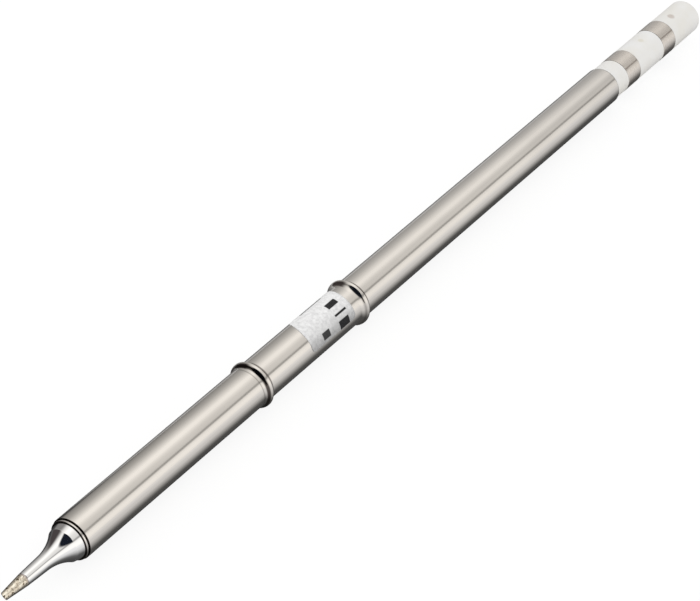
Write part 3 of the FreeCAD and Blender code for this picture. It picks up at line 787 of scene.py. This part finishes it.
# Each tube as its front rows, where its plain wall starts and ends, and its rear rows
TUBES = {
    "front_sleeve": (lip_rows, GROOVE_END + 0.04, bell_start("front_sleeve"), bell_rows("front_sleeve")),
    "middle_tube": (spigot_rows("front_sleeve"), SLEEVE_END + PAST_RIM, bell_start("middle_tube"),
                    bell_rows("middle_tube")),
    "rear_tube": (spigot_rows("middle_tube"), MIDDLE_END + PAST_RIM, REAR_END - REAR_ROUND, rear_rows),
}
for node, (front, wall_start, wall_end, back) in TUBES.items():
    wall = rows_between(np.array((wall_start, TUBE)), np.array((wall_end, TUBE)))
    surface_object(node + "_wall", spin(np.vstack([front, wall, back]), angles_round()), stainless,
                   node)

# %% [markdown]
# ## White insulators
# The insulators are turned from a white, heat-resistant resin with a slight shine. Handling leaves them a
# little warm and uneven in tone. The middle one and the end one each carry a small dark press mark on
# their upper side, a shallow round pit with a brown stain in it, and the mark on the end one is the
# larger.

# %% Insulator material
INSULATOR = radius_of("end_insulator")
WARM_RESIN, CLEAN_RESIN = (0.80, 0.785, 0.75), (0.83, 0.83, 0.83)
MIDDLE_MARK = {"station": 141.05, "roll": math.radians(4.0), "pit": 0.3, "depth": 0.05,
               "spread": 0.5, "strength": 0.4, "stain": (0.66, 0.62, 0.48)}
END_MARK = {"station": 149.75, "roll": math.radians(8.0), "pit": 0.36, "depth": 0.08,
            "spread": 0.62, "strength": 0.55, "stain": (0.46, 0.37, 0.32)}


def stained(tree, place, colour, mark):
    """The colour, with a ragged stain that fades between 0.55 and 1.15 of the mark's spread."""
    station, roll = mark["station"], mark["roll"]
    middle = (station * MM - LENGTH * MM, -math.sin(roll) * INSULATOR * MM, math.cos(roll) * INSULATOR * MM)
    mapping = add_node(tree, "ShaderNodeMapping", {"Location": tuple(-value for value in middle)})
    join(tree, place, mapping.inputs["Vector"])
    distance = add_node(tree, "ShaderNodeVectorMath", operation="LENGTH")
    join(tree, mapping.outputs[0], distance.inputs[0])
    ragged = remap(tree, noise(tree, place, scale=3200.0, detail=2.0), 0.3, 0.7, -0.05, 0.05)
    spread = math_node(tree, "DIVIDE", distance.outputs["Value"], mark["spread"] * MM)
    from_middle = math_node(tree, "ADD", spread, ragged)
    share = remap(tree, from_middle, 0.55, 1.15, mark["strength"], 0.0, "SMOOTHSTEP")
    return blend_colours(tree, share, colour, mark["stain"])


def make_insulator_white(name, mark=None):
    made, tree, shader = new_material(name, Roughness=0.42, IOR=1.38)
    place = own_place(tree)
    cloud = noise(tree, place, scale=240.0)
    colour = blend_colours(tree, remap(tree, cloud, 0.35, 0.65, 0.0, 1.0), WARM_RESIN, CLEAN_RESIN)
    if mark:
        colour = stained(tree, place, colour, mark)
    join(tree, colour, shader.inputs["Base Color"])
    skin = noise(tree, place, scale=2600.0, detail=2.0)
    join(tree, bump(tree, skin, strength=0.05, depth=1e-5), shader.inputs["Normal"])
    return made


plain_white = make_insulator_white("white_resin")
middle_white = make_insulator_white("white_resin_middle", MIDDLE_MARK)
end_white = make_insulator_white("white_resin_end", END_MARK)
print("insulator radius", INSULATOR)

# %% [markdown]
# The pit is made in the surface itself: near the mark, the radius is lowered by a smooth bowl, and extra
# rows and columns run through it so that it stays round.

# %% Press marks
def press_mark(grid, mark):
    """Lower the surface by depth (1 - u^2)^2 inside the mark, where u is the distance along the surface from
    the mark's middle, over the pit's radius."""
    radius = np.hypot(grid[..., 1], grid[..., 2])
    angle = np.arctan2(-grid[..., 1], grid[..., 2])
    along = grid[..., 0] + LENGTH - mark["station"]
    across = radius * (angle - mark["roll"])
    u2 = np.clip((along ** 2 + across ** 2) / mark["pit"] ** 2, 0, 1)
    outside = radius > INSULATOR - 0.01
    scale = np.where(outside, 1 - mark["depth"] * (1 - u2) ** 2 / np.maximum(radius, 1e-6), 1)
    pressed = grid.copy()
    pressed[..., 1] *= scale
    pressed[..., 2] *= scale
    return pressed


def with_fine_rows(profile, station, span=0.42, count=22):
    """Add rows round a station on the outer wall, so that a mark there has enough points."""
    after = np.searchsorted(profile[:, 0], station)
    fine = np.stack([np.linspace(station - span, station + span, count), np.full(count, INSULATOR)], axis=1)
    keep = np.abs(profile[:, 0] - station) > span * 1.1
    return np.vstack([profile[:after][keep[:after]], fine, profile[after:][keep[after:]]])


def marked_surface(profile, mark):
    """A profile spun with finer rows and columns at its mark, and the mark pressed in."""
    grid = spin(with_fine_rows(profile, mark["station"]), angles_round(fine_at=mark["roll"]))
    return press_mark(grid, mark)


print("pits", MIDDLE_MARK["depth"], "and", END_MARK["depth"], "mm deep")

# %% [markdown]
# The insulators and rings are stacked on a ceramic core, so each has that core's bore. The front one has
# a spigot inside the rear tube. The end one closes the rod: its bore is blind, and its outer edge well
# rounded.

# %% Insulators
CORE_BORE = radius_of("contact_core") + FIT
CORE_END = stations("contact_core")[1]
BLIND_END = CORE_END + 0.1
FRONT_RING = stations("front_contact_ring")
REAR_RING = stations("rear_contact_ring")
PLUG = stations("front_insulator")[0]

front_bush = rounded_profile([
    (PLUG, CORE_BORE, 0.05), (PLUG, SHANK, 0.1), (REAR_END, SHANK, 0), (REAR_END, INSULATOR, 0.06),
    (FRONT_RING[0], INSULATOR, 0.08), (FRONT_RING[0], CORE_BORE, 0.05),
])
surface_object("front_bush", spin(front_bush, angles_round()), plain_white,
               "front_insulator")
middle_bush = rounded_profile([
    (FRONT_RING[1], INSULATOR, 0.06), (REAR_RING[0], INSULATOR, 0.08), (REAR_RING[0], CORE_BORE, 0.05),
    (FRONT_RING[1], CORE_BORE, 0.05),
])
surface_object("middle_bush", marked_surface(middle_bush, MIDDLE_MARK), middle_white,
               "middle_insulator")
end_outer = rounded_profile([(REAR_RING[1], INSULATOR, 0), (LENGTH, INSULATOR, 0.4), (LENGTH, 0, 0)], 12,
                            closed=False)
end_cap = np.vstack([[(REAR_RING[1], CORE_BORE)], end_outer, [(BLIND_END, 0.0)],
                     [(BLIND_END, CORE_BORE - 0.05)], [(CORE_END, CORE_BORE)]])
surface_object("end_cap", marked_surface(end_cap, END_MARK), end_white, "end_insulator")
print("rings", FRONT_RING, REAR_RING, "plug from", PLUG, "core bore", CORE_BORE, "to", CORE_END)

# %% [markdown]
# ## Contact rings
# The two contact rings are turned bands with broken edges. Their plating is satin and a little warm, with
# lines round the rod from the turning and a soft grain, so the studio shows in them more faintly than in
# the tubes. A thin brown line is painted along both at a fixed roll, a painted reflection of the dark gap
# between the softboxes.

# %% Contact metal
DARK_NICKEL, LIGHT_NICKEL = (0.68, 0.63, 0.58), (0.74, 0.69, 0.64)
GAP_LINE_FROM, GAP_LINE_TO, GAP_REFLECTION_BROWN = 43.6, 46.6, (0.2, 0.13, 0.1)


def make_contact_metal(name):
    made, tree, shader = new_material(name, Metallic=1.0)
    place = own_place(tree)
    turning = noise(tree, place, scale=1.0, roughness=0.6, stretch=(9000, 40, 40))
    grain = noise(tree, place, scale=3000.0, detail=2.0)
    colour = blend_colours(tree, remap(tree, grain, 0.3, 0.7, 0.0, 1.0), DARK_NICKEL, LIGHT_NICKEL)
    # Painted reflection: a thin brown line at a fixed roll, where the dark gap between the softboxes shows.
    on_line = inside(tree, roll_node(tree, place), GAP_LINE_FROM, GAP_LINE_TO, soft=1.4, strength=0.55)
    join(tree, blend_colours(tree, on_line, colour, GAP_REFLECTION_BROWN), shader.inputs["Base Color"])
    join(tree, remap(tree, turning, 0.3, 0.7, 0.25, 0.3), shader.inputs["Roughness"])
    join(tree, bump(tree, turning, strength=0.15, depth=4e-6), shader.inputs["Normal"])
    return made


contact_metal = make_contact_metal("satin_contact_metal")
RING_RADIUS = radius_of("front_contact_ring")
for node, (start, end) in (("front_contact_ring", FRONT_RING), ("rear_contact_ring", REAR_RING)):
    band = rounded_profile([(start, RING_RADIUS, 0.08), (end, RING_RADIUS, 0.08), (end, CORE_BORE, 0.04),
                            (start, CORE_BORE, 0.04)])
    surface_object(node + "_turned", spin(band, angles_round()), contact_metal, node)

# %% [markdown]
# ## Label
# The label is a thin film, stuck round part of the middle tube. It is silvery white with a fine mottle,
# and carries plain dark blocks and bars in two rows. The blocks are fields of station and roll, and a
# fine noise thins the ink a little. The film shines only softly, and its colour is painted greyer where it
# turns down towards the floor, as painted shade.

# %% Label material
LABEL_START, LABEL_END = stations("label")
LABEL_LOW, LABEL_HIGH = math.radians(-46.5), math.radians(83.5)
GREY_FOIL, WHITE_FOIL, INK = (0.73, 0.73, 0.74), (0.95, 0.95, 0.96), (0.004, 0.004, 0.005)
# Painted shade: how bright the film's colour is painted over its roll in degrees
FOIL_PAINTED_SHADE = [(-60, 0.92), (-30, 0.99), (20, 0.97), (50, 0.81), (62, 0.62), (76, 0.47), (100, 0.4)]
# Blocks as station from, station to, roll from, roll to in degrees, and how dark
BLOCKS = [
    (61.2, 63.2, 1.5, 19.5, 1.0), (61.1, 63.35, 39.5, 45.5, 1.0), (61.1, 63.1, 60.0, 83.0, 1.0),
    (57.65, 59.1, 55.0, 75.0, 0.95), (58.5, 63.0, -41.5, -33.0, 0.75),
]


def make_foil(name):
    made, tree, shader = new_material(name, Roughness=0.45, IOR=1.27)
    place = own_place(tree)
    station = station_node(tree, place)
    turn = roll_node(tree, place)
    mottle = noise(tree, place, scale=2400.0, roughness=0.6)
    paper = blend_colours(tree, remap(tree, mottle, 0.32, 0.68, 0.0, 1.0), GREY_FOIL, WHITE_FOIL)
    # Painted shade: the colour is multiplied by a grey ramp over the roll, darker where the film turns down.
    colour = blend_colours(tree, 1.0, paper, level_ramp(tree, turn, -60, 100, FOIL_PAINTED_SHADE), "MULTIPLY")
    ink = 0.0
    for start, end, low, high, strength in BLOCKS:
        along = inside(tree, station, start, end, soft=0.05)
        across = inside(tree, turn, low, high, soft=1.0)
        block = math_node(tree, "MULTIPLY", along, math_node(tree, "MULTIPLY", across, strength))
        ink = math_node(tree, "MAXIMUM", ink, block)
    thinned = remap(tree, noise(tree, place, scale=5200.0, detail=2.0), 0.3, 0.7, 0.97, 1.0)
    inked = blend_colours(tree, math_node(tree, "MULTIPLY", ink, thinned), colour, INK)
    join(tree, inked, shader.inputs["Base Color"])
    join(tree, bump(tree, mottle, strength=0.25, depth=8e-6), shader.inputs["Normal"])
    return made


foil = make_foil("silvery_label")
print("label from", LABEL_START, "to", LABEL_END, "with", len(BLOCKS), "blocks")

# %% [markdown]
# The film is modelled as a sheet on the tube's curve: a rectangle with rounded corners, whose ends lie a
# little askew near its far edge, as on a label put on by hand. A Solidify modifier gives it its
# thickness.

# %% Label
FOIL_THICKNESS = 0.03
UNDER_FOIL = 0.004
LEAN_FROM, LEAN_POWER = math.radians(30.0), 1.7
FRONT_SKEW, REAR_SKEW = 1.45, 0.36 * 1.45


def sheet_on_tube(rows=60, columns=72, corner=0.6):
    """A sheet at the tube's radius. Its ends are straight, save that within a corner's size of a long edge
    they draw in by corner - sqrt(corner^2 - (corner - d)^2), with d the distance to that edge. From
    LEAN_FROM to the far edge both ends lean back, by their skew times the share of that way to the power
    LEAN_POWER."""
    turn = np.linspace(LABEL_LOW, LABEL_HIGH, columns)
    radius = TUBE + UNDER_FOIL
    edge = np.minimum(turn - LABEL_LOW, LABEL_HIGH - turn) * radius
    near = np.maximum(corner - edge, 0)
    inset = corner - np.sqrt(corner ** 2 - near ** 2)
    lean = np.clip((LEAN_FROM - turn) / (LEAN_FROM - LABEL_LOW), 0, 1) ** LEAN_POWER
    start = LABEL_START + inset + FRONT_SKEW * lean
    end = LABEL_END - inset + REAR_SKEW * lean
    x = start + (end - start) * np.linspace(0, 1, rows)[:, None] - LENGTH
    y, z = -radius * np.sin(turn), radius * np.cos(turn)
    return np.stack([x, np.broadcast_to(y, x.shape), np.broadcast_to(z, x.shape)], axis=-1)


label = surface_object("label_foil", sheet_on_tube(), foil, "label", closed_rows=False,
                       closed_columns=False)
thickness = label.modifiers.new("thickness", "SOLIDIFY")
thickness.thickness = FOIL_THICKNESS * MM
thickness.offset = 1.0

# %% [markdown]
# ## Hidden pieces
# The heater, its sensor and the leads are inside the tubes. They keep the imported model's shapes. The
# ceramic is unglazed and off-white, the heater ribbon is an oxidised alloy, and the leads are bare nickel
# wire.

# %% Ceramic and alloy
def make_ceramic(name, dark, light):
    made, tree, shader = new_material(name, Roughness=0.6)
    place = own_place(tree)
    cloud = noise(tree, place, scale=900.0)
    join(tree, blend_colours(tree, cloud, dark, light), shader.inputs["Base Color"])
    grain = noise(tree, place, scale=6000.0)
    join(tree, bump(tree, grain, strength=0.2, depth=1e-5), shader.inputs["Normal"])
    return made


def make_dull_alloy(name, dark, light, roughness):
    made, tree, shader = new_material(name, Metallic=1.0, Roughness=roughness)
    cloud = noise(tree, own_place(tree), scale=1400.0)
    join(tree, blend_colours(tree, cloud, dark, light), shader.inputs["Base Color"])
    return made


ceramic = make_ceramic("fired_ceramic", (0.80, 0.77, 0.72), (0.88, 0.86, 0.83))
heater_alloy = make_dull_alloy("oxidised_alloy", (0.16, 0.145, 0.13), (0.3, 0.28, 0.26), 0.45)
lead_wire = make_dull_alloy("nickel_wire", (0.48, 0.45, 0.41), (0.6, 0.57, 0.53), 0.3)
HIDDEN = {
    "heater_core": ceramic, "heater_coil": heater_alloy, "heater_jacket": ceramic,
    "sensor_bead": heater_alloy, "sensor_wire": lead_wire, "plus_lead": lead_wire, "minus_lead": lead_wire,
    "front_lead_insulator": ceramic, "rear_lead_insulator": ceramic, "contact_core": ceramic,
}
for node, finish in HIDDEN.items():
    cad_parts[node].data.materials.clear()
    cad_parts[node].data.materials.append(finish)
print("hidden pieces finished:", len(HIDDEN))
